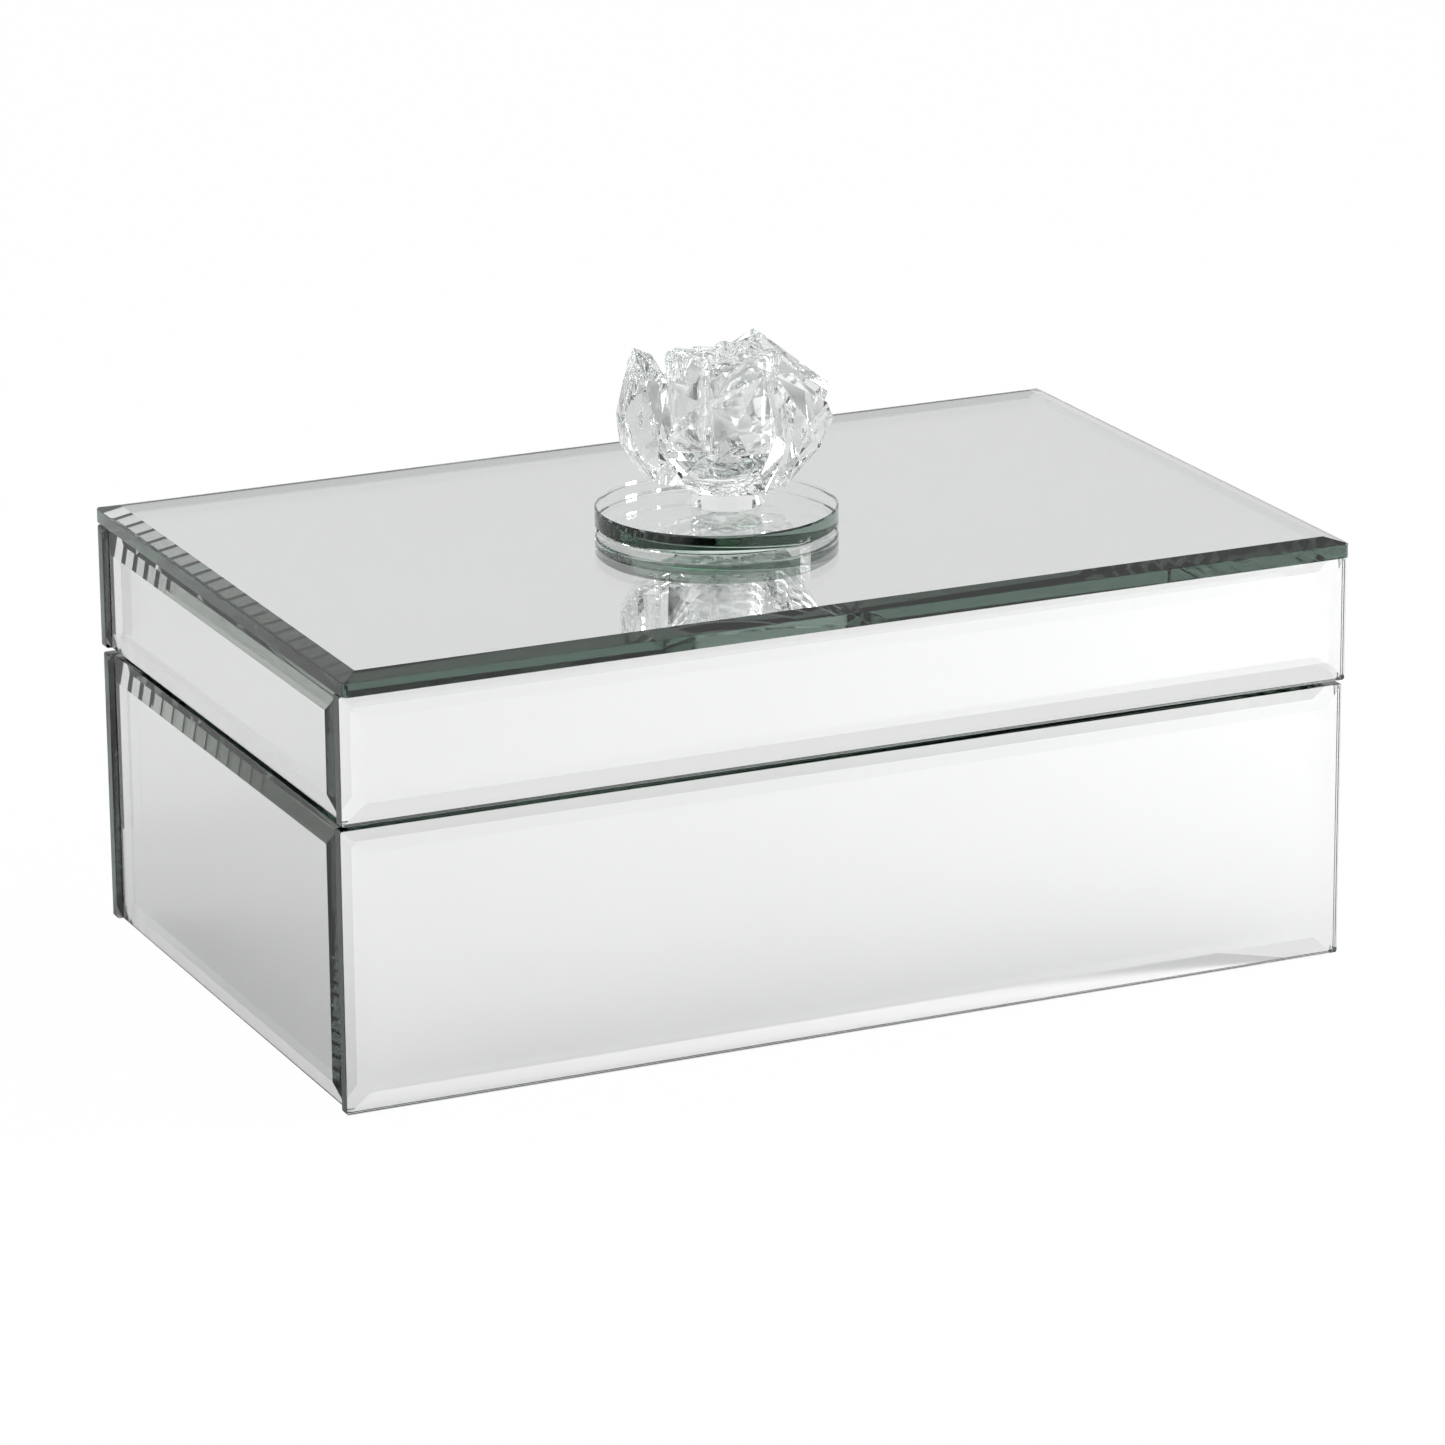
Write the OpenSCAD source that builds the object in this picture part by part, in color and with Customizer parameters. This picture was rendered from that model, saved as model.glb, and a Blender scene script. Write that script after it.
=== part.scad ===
// Mirrored vanity trinket box: a fibreboard box faced with bevelled mirror glass,
// a hinged lid, a velvet lining and a crystal rose knob on a clear glass disc.
// Millimetres. X runs along the front, Y points to the back, Z points up.
// The origin is on the resting surface, under the middle of the box.

/* [Box] */
// Width of the box along the front
box_w = 220; // [180:1:300]
// Depth of the lid over its mirror panels
lid_d = 138; // [120:1:190]
// How far the base is set back from the lid, at the front and at the back
base_inset = 1; // [0:0.1:1.5]
// Height of the base's rim above the resting surface
base_h = 58.5; // [50:0.1:80]
// Open seam between the base and the lid
seam = 1.1; // [1.1:0.1:1.6]
// Height of the lid's side mirrors
lid_side_h = 26.2; // [24:0.1:36]
// How far the top mirror stands out past the lid, at the front and at the back
top_over_y = 0.6; // [0:0.1:2]
// How far the top mirror stops short of the lid, at the left and at the right
top_short_x = 0.25; // [0:0.05:1]

/* [Mirror glass] */
// Thickness of the glass
glass_t = 4; // [3:0.5:5]
// Width of the bevel ground on a side mirror
bevel_w = 4.6; // [3:0.1:10]
// Thickness of glass left at the outer edge of a side mirror
edge_t = 2.7; // [1.5:0.1:2.8]
// Radius of a side mirror's corners
corner_r = 0.5; // [0.2:0.1:3]
// Width of the bevel ground on the top mirror
top_bevel_w = 4.1; // [3:0.1:12]
// Thickness of glass left at the outer edge of the top mirror
top_edge_t = 2.9; // [1.5:0.1:2.9]
// Radius of the top mirror's corners
top_corner_r = 1.4; // [0.5:0.1:3]
// Silver, paint and adhesive behind each mirror
bond = 0.3; // [0.2:0.1:1]
// Height of the base mirrors' lower edge above the resting surface
glass_foot = 0.4; // [0.2:0.1:0.7]

/* [Carcass and lining] */
// Thickness of the fibreboard
board_t = 5; // [4:0.5:6]
// Thickness of the velvet-covered card on the walls
lining_t = 1.5; // [1:0.1:2.5]
// Thickness of the padded velvet on the floor and under the lid
pad_t = 3; // [2:0.5:5]
// Thickness of the felt under the base
felt_t = 0.8; // [0.8:0.1:1.5]

/* [Hinges] */
// Distance from the middle of the box to each hinge
hinge_x = 62; // [40:1:80]
// Length of each hinge
hinge_len = 30; // [24:1:36]
// Thickness of a hinge leaf
leaf_t = 0.45; // [0.35:0.05:0.5]
// Outer radius of the hinge knuckles
knuckle_r = 1.5; // [1.4:0.1:1.6]
// Radius of the hinge pin
pin_r = 0.8; // [0.6:0.05:0.9]
// Angle at which the heels of the hinge stop the lid
stop_angle = 101; // [95:1:110]

/* [Knob] */
// Diameter of the clear glass disc
disc_d = 50; // [46:1:60]
// Thickness of the clear glass disc
disc_t = 4; // [3:0.1:8]
// Height of the rose's foot
foot_h = 3.3; // [2:0.1:6]
// Turn of the rose on its disc
rose_turn = -24.5; // [-180:0.5:180]

/* [Hidden] */

MIRROR = [0.80, 0.83, 0.83];
CLEAR = [0.90, 0.95, 0.95, 0.5];
BOARD = [0.08, 0.07, 0.06];
VELVET = [0.04, 0.04, 0.05];
STEEL = [0.75, 0.75, 0.77];

eps = 0.01;
glass_gap = 0.1;   // between the end of a side mirror and the back of the front mirror
rim_drop = 0.5;    // the lining stops this far short of the rim
$fn = 48;

// Heights
lid_z = base_h + seam;              // lower edge of the lid
lid_top_z = lid_z + lid_side_h;     // upper edge of the lid's side mirrors
plate_z = lid_top_z + 0.2;          // underside of the top mirror
board_top_z = plate_z - bond;       // top of the lid's top board
disc_gap = 0.1;                     // adhesive under the disc, and under the petals
disc_z = plate_z + glass_t + disc_gap;
rose_z = disc_z + disc_t + disc_gap;

// The disc and the rose, by eye a little off the middle
knob_x = -0.4;
knob_y = -1.6;
rose_side = 2.1;
foot_r = 7.6;
bud_top = 34.1;

// Half depths of the mirror faces and of the boards behind them
base_y = lid_d / 2 - base_inset;
lid_y = lid_d / 2;
board_x = box_w / 2 - glass_t - bond;
base_board_y = base_y - glass_t - bond;
lid_board_y = lid_y - glass_t - bond;

// Hinge axis: behind the lid's back mirror, half-way up the seam
hinge_y = lid_y + knuckle_r + 0.2;
hinge_z = base_h + seam / 2;
knuckles = 5;
knuckle_gap = 0.15;
screw_r = 0.95;
screw_l = 8;
head_r = 1.7;
screw_x = hinge_len / 2 - 6;
heel_r = 3;                         // reach of the heels from the axis
heel_t = 0.5;
heel_lift = 0.05;
heel_turn = stop_angle / 2 - asin(heel_lift / heel_r);

// ---------------------------------------------------------------- shared shapes

module rounded_sheet(w, h, r) {
    square([w - 2 * r, h], center = true);
    square([w, h - 2 * r], center = true);
    for (x = [-1, 1], y = [-1, 1])
        translate([x * (w / 2 - r), y * (h / 2 - r)]) circle(r);
}

// A plate with its silvered back on z = 0 and a bevel ground round its front.
module bevelled_plate(w, h, edge, bevel, r) {
    slope = atan((glass_t - edge) / bevel);
    reach = bevel + 4;
    difference() {
        linear_extrude(glass_t) rounded_sheet(w, h, r);
        for (turn = [0 : 90 : 270]) {
            half = turn % 180 == 0 ? w / 2 : h / 2;
            run = turn % 180 == 0 ? h : w;
            rotate([0, 0, turn]) translate([half, 0, edge]) rotate([0, slope, 0])
                translate([-reach, -run / 2 - 2, 0]) cube([2 * reach, run + 4, 2 * glass_t]);
        }
    }
}

// Turns a piece made for the front wall to another wall.
module on_wall(wall) {
    turn = wall == "right" ? 90 : wall == "back" ? 180 : wall == "left" ? 270 : 0;
    rotate([0, 0, turn]) children();
}

module wall_mirror(wall, half, run, z0, z1) {
    color(MIRROR) on_wall(wall) translate([0, glass_t - half, (z0 + z1) / 2])
        rotate([90, 0, 0]) bevelled_plate(run, z1 - z0, edge_t, bevel_w, corner_r);
}

module wall_board(wall, half, run, z0, z1, t, shade) {
    color(shade) on_wall(wall) translate([-run / 2, -half, z0]) cube([run, t, z1 - z0]);
}

// ---------------------------------------------------------------- base

module base_mirror(wall) {
    ends = wall == "front" || wall == "back";
    wall_mirror(wall, ends ? base_y : box_w / 2,
        ends ? box_w : 2 * (base_y - glass_t - glass_gap), glass_foot, base_h);
}

module base_board(wall) {
    ends = wall == "front" || wall == "back";
    difference() {
        wall_board(wall, ends ? base_board_y : board_x,
            ends ? 2 * board_x : 2 * (base_board_y - board_t), felt_t, base_h, board_t, BOARD);
        if (wall == "back") screw_bores(-1);
    }
}

module base_floor_board() {
    w = 2 * (board_x - board_t);
    d = 2 * (base_board_y - board_t);
    color(BOARD) translate([-w / 2, -d / 2, felt_t]) cube([w, d, board_t]);
}

module base_floor_pad() {
    w = 2 * (board_x - board_t);
    d = 2 * (base_board_y - board_t);
    color(VELVET) translate([0, 0, felt_t + board_t])
        linear_extrude(pad_t) square([w - 0.2, d - 0.2], center = true);
}

module base_lining(wall) {
    ends = wall == "front" || wall == "back";
    half_x = board_x - board_t;
    half_y = base_board_y - board_t;
    wall_board(wall, ends ? half_y : half_x, ends ? 2 * half_x : 2 * (half_y - lining_t),
        felt_t + board_t + pad_t, base_h - rim_drop, lining_t, VELVET);
}

module underside_felt() {
    color(VELVET) linear_extrude(felt_t)
        rounded_sheet(2 * board_x, 2 * base_board_y, 2);
}

// Clear silicone dots that hold the seam open at the front corners.
module rim_bumpers() {
    x = board_x - board_t / 2;
    y = board_t / 2 - base_board_y;
    color(CLEAR) for (s = [-1, 1])
        translate([s * x, y, base_h]) cylinder(h = seam - 0.05, r1 = 2, r2 = 1.6);
}

// ---------------------------------------------------------------- lid

module lid_mirror(wall) {
    ends = wall == "front" || wall == "back";
    wall_mirror(wall, ends ? lid_y : box_w / 2,
        ends ? box_w : 2 * (lid_y - glass_t - glass_gap), lid_z, lid_top_z);
}

module lid_board(wall) {
    ends = wall == "front" || wall == "back";
    difference() {
        wall_board(wall, ends ? lid_board_y : board_x,
            ends ? 2 * board_x : 2 * (lid_board_y - board_t),
            lid_z, board_top_z - board_t, board_t, BOARD);
        if (wall == "back") screw_bores(1);
    }
}

module lid_top_board() {
    color(BOARD) translate([-board_x, -lid_board_y, board_top_z - board_t])
        cube([2 * board_x, 2 * lid_board_y, board_t]);
}

module lid_top_mirror() {
    color(MIRROR) translate([0, 0, plate_z])
        bevelled_plate(box_w - 2 * top_short_x, lid_d + 2 * top_over_y,
            top_edge_t, top_bevel_w, top_corner_r);
}

module lid_pad() {
    w = 2 * (board_x - board_t);
    d = 2 * (lid_board_y - board_t);
    color(VELVET) translate([0, 0, board_top_z - board_t - pad_t])
        linear_extrude(pad_t) square([w - 0.2, d - 0.2], center = true);
}

module lid_lining(wall) {
    ends = wall == "front" || wall == "back";
    half_x = board_x - board_t;
    half_y = lid_board_y - board_t;
    wall_board(wall, ends ? half_y : half_x, ends ? 2 * half_x : 2 * (half_y - lining_t),
        lid_z + rim_drop, board_top_z - board_t - pad_t, lining_t, VELVET);
}

// ---------------------------------------------------------------- hinges

function screw_y() = lid_board_y - board_t / 2 - base_inset / 2;

// The screws' places: side is -1 in the base and 1 in the lid.
module at_screws() {
    for (h = [-1, 1], s = [-1, 1])
        translate([h * hinge_x + s * screw_x, screw_y(), hinge_z]) children();
}

module screw_bores(side) {
    at_screws() mirror([0, 0, side > 0 ? 0 : 1]) cylinder(h = seam / 2 + screw_l, r = screw_r);
}

// A countersunk screw that points up, its head level with the leaf.
module screw() {
    difference() {
        union() {
            cylinder(h = leaf_t, r1 = head_r, r2 = head_r - leaf_t);
            cylinder(h = screw_l - 1, r = screw_r - 0.02);
            translate([0, 0, screw_l - 1]) cylinder(h = 1, r1 = screw_r - 0.02, r2 = 0.2);
        }
        for (turn = [0, 90]) rotate([0, 0, turn]) translate([-1, -0.15, -0.1]) cube([2, 0.3, 0.4]);
    }
}

module hinge_screws(side) {
    color(STEEL) at_screws() mirror([0, 0, side > 0 ? 0 : 1])
        translate([0, 0, seam / 2 - leaf_t]) screw();
}

// One leaf, lying on the rim that it is screwed to, with the axis along X through z = 0.
// first is the index of its first knuckle, and every second knuckle belongs to it.
module leaf(side, first) {
    pitch = hinge_len / knuckles;
    width = pitch - knuckle_gap;
    z_in = seam / 2 - leaf_t;
    front = screw_y() - hinge_y - board_t / 2;
    behind = lid_y - hinge_y;
    mirror([0, 0, side > 0 ? 0 : 1]) difference() {
        union() {
            translate([-hinge_len / 2, front, z_in]) cube([hinge_len, behind - front, leaf_t]);
            for (k = [first : 2 : knuckles - 1])
                translate([-hinge_len / 2 + k * pitch + knuckle_gap / 2, 0, 0]) {
                    rotate([0, 90, 0]) cylinder(h = width, r = knuckle_r);
                    translate([0, behind - 0.2, z_in]) cube([width, 1, leaf_t]);
                    rotate([heel_turn, 0, 0]) translate([0, 1.2, heel_lift])
                        cube([width, heel_r - 1.2, heel_t]);
                }
            rotate([heel_turn, 0, 0]) translate([-hinge_len / 2, knuckle_r + 0.15, heel_lift])
                cube([hinge_len, heel_r - knuckle_r - 0.15, heel_t]);
        }
        translate([-hinge_len / 2 - 1, 0, 0]) rotate([0, 90, 0])
            cylinder(h = hinge_len + 2, r = pin_r + 0.03);
        for (s = [-1, 1]) translate([s * screw_x, screw_y() - hinge_y, z_in - eps])
            cylinder(h = leaf_t + 2 * eps, r1 = head_r + 0.03, r2 = head_r + 0.03 - leaf_t);
    }
}

module base_leaf(x) {
    color(STEEL) translate([x, hinge_y, hinge_z]) leaf(-1, 0);
}

module lid_leaf(x) {
    color(STEEL) translate([x, hinge_y, hinge_z]) leaf(1, 1);
}

module hinge_pin(x) {
    color(STEEL) translate([x - hinge_len / 2 - 0.6, hinge_y, hinge_z]) rotate([0, 90, 0]) {
        cylinder(h = hinge_len + 1.2, r = pin_r);
        for (z = [0, hinge_len + 0.7]) translate([0, 0, z]) cylinder(h = 0.5, r = pin_r + 0.3);
    }
}

// ---------------------------------------------------------------- knob

module knob_disc() {
    chamfer = 0.4;
    color(CLEAR) translate([knob_x, knob_y, disc_z]) rotate_extrude($fn = 128) polygon([
        [0, 0], [disc_d / 2 - chamfer, 0], [disc_d / 2, chamfer],
        [disc_d / 2, disc_t - chamfer], [disc_d / 2 - chamfer, disc_t], [0, disc_t]
    ]);
}

// The seat that the outer petals leave for the inner ones: a sloping floor and a leaning wall.
petal_z = foot_h + 0.1;
seat_r = 11;
seat_z = 14;
wall_lean = 5.4;
floor_tilt = atan((seat_z - petal_z) / seat_r);
joint_gap = 0.1;

// An outer petal: the sector it fills, and the corners that its flat facets run between.
outer_petals = [
    [145, 222, [
        [-18.8, 0, 32.9], [-19.9, 1, 30], [-22.5, 0.5, 19.1], [-21.9, 1, 13],
        [-19.1, 0, 8.3], [-13.2, -1.9, 4.3], [-20.5, -4.8, 20.3], [-18.4, -5.8, 12.1],
        [-13.7, -6.3, 5.6], [-16.6, -6.3, 27.6], [-13.7, -8.2, 16.4], [-15.1, 3.9, 30.5],
        [-18.9, 7.7, 18.4], [-14.5, 8.7, 8.7], [-11.6, -4.8, 26.6]
    ]],
    [222, 311, [
        [-12.3, -11.2, 16.6], [-12, -12.5, 13], [-9.8, -11, 20.9], [7.1, -11, 31.5],
        [-8.7, -14.5, 19.4], [7.7, -14.5, 30.6], [2, -18.2, 20], [10.2, -16.4, 18.5],
        [9.6, -14.5, 26], [-6, -16.6, 13], [6.8, -17, 10.2], [-7.3, -9.2, 4.5],
        [8.2, -9.2, 4.1], [13.2, -12.3, 15], [-9.2, -13, 8.5]
    ]],
    [311, 375, [
        [21.9, -1.9, 18.3], [20.7, -2.9, 21.7], [10.2, -11.1, 29.5], [16.9, -10.2, 19.3],
        [19.1, -5.8, 13.2], [12, -7.3, 5.4], [14.5, -11.1, 12.1], [16.9, 3.9, 19.3],
        [13.5, 3.4, 26.6], [8.7, -6.8, 30], [11.6, 2.9, 4.8]
    ]],
    [15, 95, [
        [5.9, 15, 33.1], [20.8, 9.2, 23], [21, 8.2, 21.1], [-1, 15, 28.5],
        [6.8, 18.9, 29], [18.9, 14, 21.9], [13.5, 16.9, 15.5], [11.6, 12.6, 5.8],
        [0, 18.9, 17.4], [15.5, 5.8, 8.7], [5, 10.6, 31.9], [16.4, 6.3, 24.7]
    ]],
    [95, 145, [
        [-8.7, 14.5, 25.6], [-2.9, 16.9, 25.1], [-13.5, 10.2, 24.2], [-11.6, 16.4, 17.4],
        [-15.5, 11.6, 15.5], [-3.9, 19.3, 16.4], [-5.8, 12.6, 5.8], [-10.6, 8.7, 5.8], [-5.8, 9.7, 26.1]
    ]]
];

// An inner petal: middle of its arc, half its arc, height of its rim and lean of its rim.
inner_petals = [[207, 44, 34.8, 3], [298, 42, 34.2, 4], [68, 60, 31.8, 0]];

// A wedge from the axis outwards, between two directions less than 180 degrees apart.
module sector(from, to) {
    mid = (from + to) / 2;
    shift = joint_gap / 2 / sin((to - from) / 2);
    far = 60;
    translate(shift * [cos(mid), sin(mid), 0]) linear_extrude(60) polygon([
        [0, 0], far * [cos(from), sin(from)],
        1.6 * far * [cos(mid), sin(mid)], far * [cos(to), sin(to)]
    ]);
}

// The room above the seat's floor and inside its wall, on the side that a petal stands on.
module seat(mid) {
    rotate([0, 0, mid]) intersection() {
        translate([0, 0, petal_z]) rotate([0, -floor_tilt, 0])
            translate([-60, -60, 0]) cube([120, 120, 80]);
        translate([seat_r, 0, seat_z]) rotate([0, wall_lean, 0])
            translate([-80, -60, -60]) cube([80, 120, 120]);
    }
}

module on_disc() {
    color(CLEAR) translate([knob_x, knob_y, rose_z]) rotate([0, 0, rose_turn])
        translate([rose_side, 0, 0]) children();
}

module rose_foot() {
    on_disc() cylinder(h = foot_h, r1 = foot_r, r2 = foot_r - 0.6, $fn = 10);
}

module outer_petal(i) {
    petal = outer_petals[i - 1];
    mid = (petal[0] + petal[1]) / 2;
    root = [for (r = [1.2, foot_r]) [r * cos(mid), r * sin(mid), petal_z]];
    points = concat(petal[2], root);
    on_disc() difference() {
        intersection() {
            hull() polyhedron(points, [[for (k = [0 : len(points) - 1]) k]]);
            sector(petal[0], petal[1]);
        }
        seat(mid);
    }
}

// A curved petal with an arched rim, standing in the seat.
module inner_petal(i) {
    arch_r = 11.1;
    petal = inner_petals[i - 1];
    on_disc() intersection() {
        rotate_extrude() polygon([[7, 10.4], [10.9, 14.1], [12.9, 35.5], [9.3, 35.5]]);
        sector(petal[0] - petal[1], petal[0] + petal[1]);
        rotate([0, 0, petal[0]]) translate([0, petal[3], petal[2] - arch_r]) union() {
            rotate([0, 90, 0]) cylinder(h = 20, r = arch_r);
            translate([0, -20, -40]) cube([20, 40, 40]);
        }
    }
}

// Radius of the middle of the rolled bud's wall after an angle.
function spiral_r(a) = 1.6 + 5.6 * a / 720;

// The bud: a solid heart with its rolled petals standing on it.
module rose_bud() {
    step = 15;
    wall = 2.1;
    outer = [for (a = [0 : step : 720]) (spiral_r(a) + wall / 2) * [cos(a), sin(a)]];
    inner = [for (a = [720 : -step : 0]) (spiral_r(a) - wall / 2) * [cos(a), sin(a)]];
    on_disc() intersection() {
        rotate_extrude() polygon([[0, 3.6], [6.9, 10.25], [9.2, 35.5], [0, 35.5]]);
        union() {
            cylinder(h = 27.2, r = 12);
            linear_extrude(bud_top) polygon(concat(outer, inner));
        }
    }
}

// ---------------------------------------------------------------- nodes

underside_felt();
base_floor_board();
base_board("front");  // base_front_board
base_board("back");  // base_back_board
base_board("left");  // base_left_board
base_board("right");  // base_right_board
base_mirror("front");  // base_front_mirror
base_mirror("back");  // base_back_mirror
base_mirror("left");  // base_left_mirror
base_mirror("right");  // base_right_mirror
base_floor_pad();
base_lining("front");  // base_front_lining
base_lining("back");  // base_back_lining
base_lining("left");  // base_left_lining
base_lining("right");  // base_right_lining
rim_bumpers();
base_leaf(-hinge_x);  // left_hinge_base_leaf
base_leaf(hinge_x);  // right_hinge_base_leaf
hinge_pin(-hinge_x);  // left_hinge_pin
hinge_pin(hinge_x);  // right_hinge_pin
hinge_screws(-1);  // base_hinge_screws
lid_top_board();
lid_board("front");  // lid_front_board
lid_board("back");  // lid_back_board
lid_board("left");  // lid_left_board
lid_board("right");  // lid_right_board
lid_mirror("front");  // lid_front_mirror
lid_mirror("back");  // lid_back_mirror
lid_mirror("left");  // lid_left_mirror
lid_mirror("right");  // lid_right_mirror
lid_top_mirror();
lid_pad();
lid_lining("front");  // lid_front_lining
lid_lining("back");  // lid_back_lining
lid_lining("left");  // lid_left_lining
lid_lining("right");  // lid_right_lining
lid_leaf(-hinge_x);  // left_hinge_lid_leaf
lid_leaf(hinge_x);  // right_hinge_lid_leaf
hinge_screws(1);  // lid_hinge_screws
knob_disc();
rose_foot();
outer_petal(1);  // outer_petal_left
outer_petal(2);  // outer_petal_front
outer_petal(3);  // outer_petal_right
outer_petal(4);  // outer_petal_back_right
outer_petal(5);  // outer_petal_back_left
inner_petal(1);  // inner_petal_left
inner_petal(2);  // inner_petal_front
inner_petal(3);  // inner_petal_back
rose_bud();
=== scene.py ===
import math

import bpy
import bmesh
from mathutils import Matrix, Vector, noise


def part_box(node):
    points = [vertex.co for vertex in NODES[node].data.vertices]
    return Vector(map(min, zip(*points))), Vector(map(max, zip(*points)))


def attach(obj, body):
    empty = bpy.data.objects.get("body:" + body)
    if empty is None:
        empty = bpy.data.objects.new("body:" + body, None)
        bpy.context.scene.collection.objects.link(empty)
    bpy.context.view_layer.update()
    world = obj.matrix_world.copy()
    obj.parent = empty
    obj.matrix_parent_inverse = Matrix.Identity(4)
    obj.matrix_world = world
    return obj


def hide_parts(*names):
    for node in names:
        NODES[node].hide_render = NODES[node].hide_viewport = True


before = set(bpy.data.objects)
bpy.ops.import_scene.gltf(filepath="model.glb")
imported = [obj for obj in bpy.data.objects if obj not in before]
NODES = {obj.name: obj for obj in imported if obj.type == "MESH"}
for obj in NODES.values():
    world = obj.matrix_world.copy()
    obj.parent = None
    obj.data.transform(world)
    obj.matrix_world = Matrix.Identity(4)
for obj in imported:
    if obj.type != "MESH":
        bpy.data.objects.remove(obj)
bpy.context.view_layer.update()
MM = 0.001

# Absorption per metre (red, green, blue) and refractive index
SODA_LIME_ABSORPTION = (6.8, 5.2, 5.9)
DISC_ABSORPTION = (5.0, 3.4, 4.2)
CRYSTAL_ABSORPTION = (3.4, 2.9, 3.15)
SODA_LIME_IOR = 1.52
CRYSTAL_IOR = 1.55
SILICONE_IOR = 1.41

# Tint of ground edges, against clear faces
GROUND_EDGE_TINT = (0.31, 0.41, 0.36)
DISC_EDGE_TINT = (0.86, 0.90, 0.88)

# Degrees. Facets of the rose that turn less than FLAT_FACET are one face, its edges that turn more than
# SHARP_EDGE get a ground arris, and so do a mirror's edges that turn more than ARRIS_EDGE.
FLAT_FACET = 0.6
SHARP_EDGE = 12
ARRIS_EDGE = 40


# ---------------------------------------------------------------- materials

def new_material(name):
    m = bpy.data.materials.new(name)
    m.use_nodes = True
    nt = m.node_tree
    return m, nt, nt.nodes["Principled BSDF"]


def link(nt, a, b):
    nt.links.new(a, b)


def node(nt, kind, **values):
    n = nt.nodes.new(kind)
    for key, value in values.items():
        if key in n.inputs.keys():
            n.inputs[key].default_value = value
        else:
            setattr(n, key, value)
    return n


def coords(nt):
    return nt.nodes.new("ShaderNodeTexCoord").outputs["Object"]


def noise_tex(nt, scale, detail=4.0, rough=0.55):
    n = node(nt, "ShaderNodeTexNoise", Scale=scale, Detail=detail, Roughness=rough)
    link(nt, coords(nt), n.inputs["Vector"])
    return n


def ramp(nt, source, stops):
    r = nt.nodes.new("ShaderNodeValToRGB")
    while len(r.color_ramp.elements) < len(stops):
        r.color_ramp.elements.new(0.5)
    for e, (pos, col) in zip(r.color_ramp.elements, stops):
        e.position = pos
        e.color = (*col, 1.0) if len(col) == 3 else col
    link(nt, source, r.inputs["Fac"])
    return r


def bump(nt, bsdf, source, strength, distance):
    b = node(nt, "ShaderNodeBump", Strength=strength, Distance=distance)
    link(nt, source, b.inputs["Height"])
    link(nt, b.outputs["Normal"], bsdf.inputs["Normal"])
    return b


def glass_material(name, absorbed, ior, surface=(1, 1, 1)):
    """Solid clear glass, coloured by its depth. absorbed is how fast each colour fades, per metre."""
    m, nt, bsdf = new_material(name)
    bsdf.inputs["Transmission Weight"].default_value = 1.0
    bsdf.inputs["IOR"].default_value = ior
    bsdf.inputs["Roughness"].default_value = 0.0
    bsdf.inputs["Base Color"].default_value = (*surface, 1)
    density = max(absorbed) * 1.25
    absorb = node(nt, "ShaderNodeVolumeAbsorption", Density=density)
    absorb.inputs["Color"].default_value = (*[1 - a / density for a in absorbed], 1.0)
    link(nt, absorb.outputs["Volume"], nt.nodes["Material Output"].inputs["Volume"])
    return m


def joint_material():
    """A face glued with clear adhesive of the crystal's own index: light goes straight through it."""
    m, nt, _ = new_material("adhesive_joint")
    clear = nt.nodes.new("ShaderNodeBsdfTransparent")
    n = noise_tex(nt, 500.0)
    r = ramp(nt, n.outputs["Fac"], [(0.3, (0.99, 0.99, 0.99)), (0.7, (1.0, 1.0, 1.0))])
    link(nt, r.outputs["Color"], clear.inputs["Color"])
    link(nt, clear.outputs["BSDF"], nt.nodes["Material Output"].inputs["Surface"])
    return m


def silver_material():
    """The silvered back of a mirror, with the faint unevenness of a chemical silvering."""
    m, nt, bsdf = new_material("silvering")
    bsdf.inputs["Metallic"].default_value = 1.0
    bsdf.inputs["Roughness"].default_value = 0.0
    n = noise_tex(nt, 14.0, 3.0)
    r = ramp(nt, n.outputs["Fac"], [(0.3, (0.900, 0.900, 0.895)), (0.7, (0.910, 0.910, 0.905))])
    link(nt, r.outputs["Color"], bsdf.inputs["Base Color"])
    return m


def board_material():
    """Fibreboard sealed with thin black paint: flattened fibres show through, and the colour is uneven."""
    m, nt, bsdf = new_material("fibreboard")
    fine = noise_tex(nt, 1800.0, 6.0)
    wide = noise_tex(nt, 60.0, 3.0)
    r = ramp(nt, wide.outputs["Fac"], [(0.3, (0.010, 0.009, 0.008)), (0.7, (0.022, 0.019, 0.016))])
    link(nt, r.outputs["Color"], bsdf.inputs["Base Color"])
    rough = ramp(nt, fine.outputs["Fac"], [(0.3, (0.55,) * 3), (0.7, (0.8,) * 3)])
    link(nt, rough.outputs["Color"], bsdf.inputs["Roughness"])
    bump(nt, bsdf, fine.outputs["Fac"], 0.35, 0.00015)
    return m


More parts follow.
